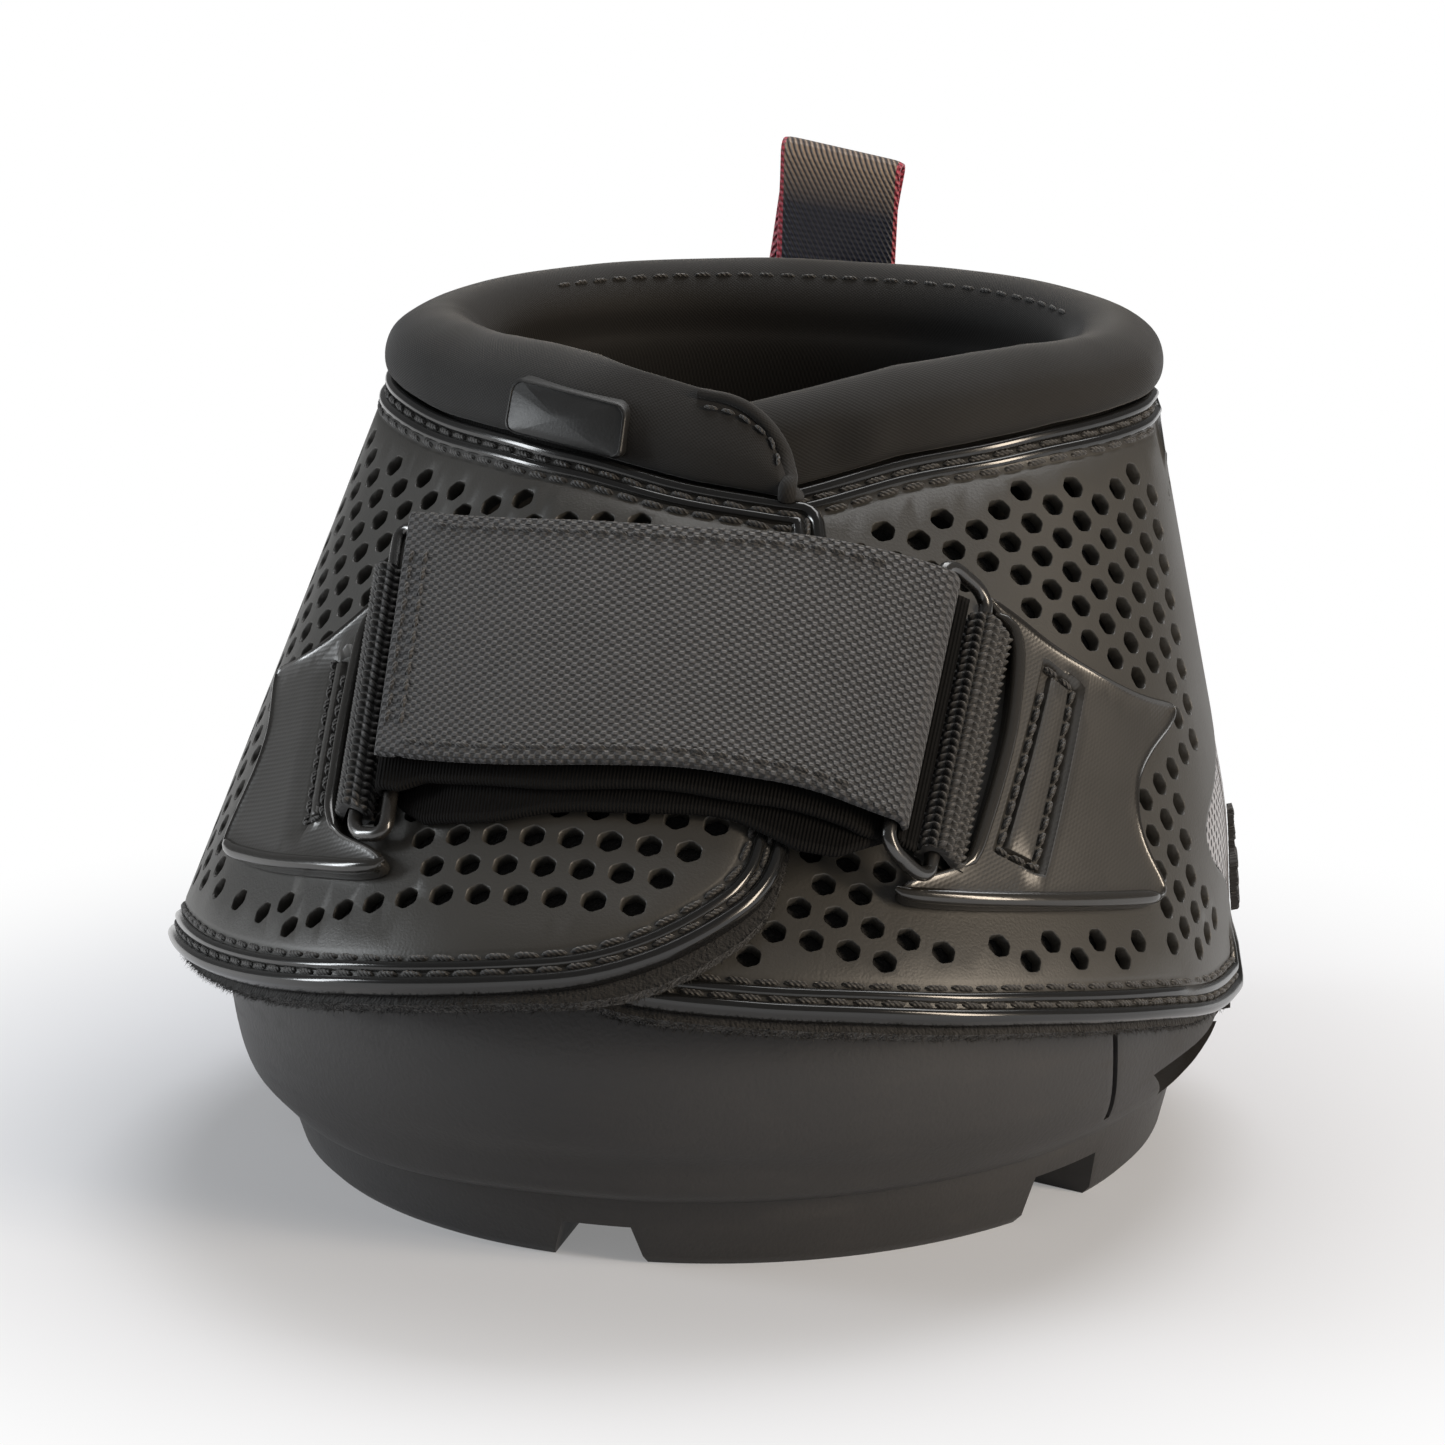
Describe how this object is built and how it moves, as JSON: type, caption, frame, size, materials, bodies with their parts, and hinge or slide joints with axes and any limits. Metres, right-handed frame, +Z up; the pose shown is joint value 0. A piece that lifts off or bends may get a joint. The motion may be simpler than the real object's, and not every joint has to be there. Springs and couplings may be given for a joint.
{
  "type": "hoof boot",
  "caption": "Horse hoof boot: rubber sole cup, overlapping perforated flaps hinged at the heel, padded collar, rings and a hook-and-loop strap across the toe, pull tab.",
  "frame": {"origin": "bottom centre of the bounding box, on the ground under the tread", "axes": "+Z up, the toe points to -Y and the heel to +Y; +X is on the right of someone who faces the toe"},
  "size_m": [0.1532, 0.1714, 0.1302],
  "materials": {
    "sole": "matte moulded rubber, finely pitted",
    "panel": "satin moulded rubber with hexagonal holes and glossy edge beads",
    "felt": "fuzzy black felt",
    "collar": "matte stretch cloth over foam",
    "webbing": "coarse basket-woven webbing with a stitched border",
    "hook": "hook tape",
    "elastic": "ribbed elastic webbing",
    "ring": "satin black coated wire",
    "plate": "glossy moulded plastic with a raised rim",
    "heel_mesh": "silvery woven mesh",
    "tape": "ribbed black tape",
    "badge": "satin moulded badge, blank",
    "tab": "navy twill tape with red edges"
  },
  "bodies": {
    "boot_base": {"sole": "sole", "sole_wall": "sole", "heel_mesh": "heel_mesh", "heel_lining": "felt", "heel_tape": "tape", "back_collar": "collar"},
    "left_flap": {"left_quarter": "panel", "left_lining": "felt", "left_collar": "collar", "badge_plate": "badge", "left_anchor_plate": "plate", "left_elastic": "elastic"},
    "right_flap": {"right_quarter": "panel", "right_lining": "felt", "right_collar": "collar", "right_anchor_plate": "plate", "right_elastic": "elastic"},
    "strap": {"left_ring": "ring", "strap_band": "webbing"},
    "strap_tail": {"strap_tail": "webbing", "hook_pad": "hook"},
    "right_ring": {"right_ring": "ring"},
    "pull_tab": {"pull_tab": "tab"}
  },
  "joints": [
    {"name": "left_flap_open", "type": "hinge", "parent": "boot_base", "child": "left_flap", "pos_m": [-0.07692, 0.00909, 0.02404], "axis": [-0.238, -0.3348, -0.9117], "range_deg": [0, 50], "deforming": ["strap_band"]},
    {"name": "right_flap_open", "type": "hinge", "parent": "boot_base", "child": "right_flap", "pos_m": [0.07692, 0.00897, 0.02382], "axis": [-0.238, 0.3348, 0.9118], "range_deg": [0, 18]},
    {"name": "left_ring_swing", "type": "hinge", "parent": "left_flap", "child": "strap", "pos_m": [-0.03512, -0.05413, 0.06457], "axis": [0.1024, -0.7833, -0.6131], "range_deg": [0, 60], "deforming": ["strap_band"]},
    {"name": "strap_peel", "type": "hinge", "parent": "strap", "child": "strap_tail", "pos_m": [0.03784, -0.05876, 0.06312], "axis": [0.0073, 0.7632, 0.6461], "range_deg": [0, 120], "deforming": ["strap_band"]},
    {"name": "right_ring_swing", "type": "hinge", "parent": "right_flap", "child": "right_ring", "pos_m": [0.04206, -0.05531, 0.05855], "axis": [0.0128, 0.7648, 0.6441], "range_deg": [0, 40]},
    {"name": "pull_tab_fold", "type": "hinge", "parent": "boot_base", "child": "pull_tab", "pos_m": [0.00048, 0.08575, 0.0985], "axis": [-1, 0, 0], "range_deg": [0, 100]}
  ],
  "couplings": [
    {"joint": "right_flap_open", "follows": "left_flap_open", "ratio": 0.35},
    {"joint": "right_ring_swing", "follows": "left_flap_open", "ratio": 0.8}
  ]
}
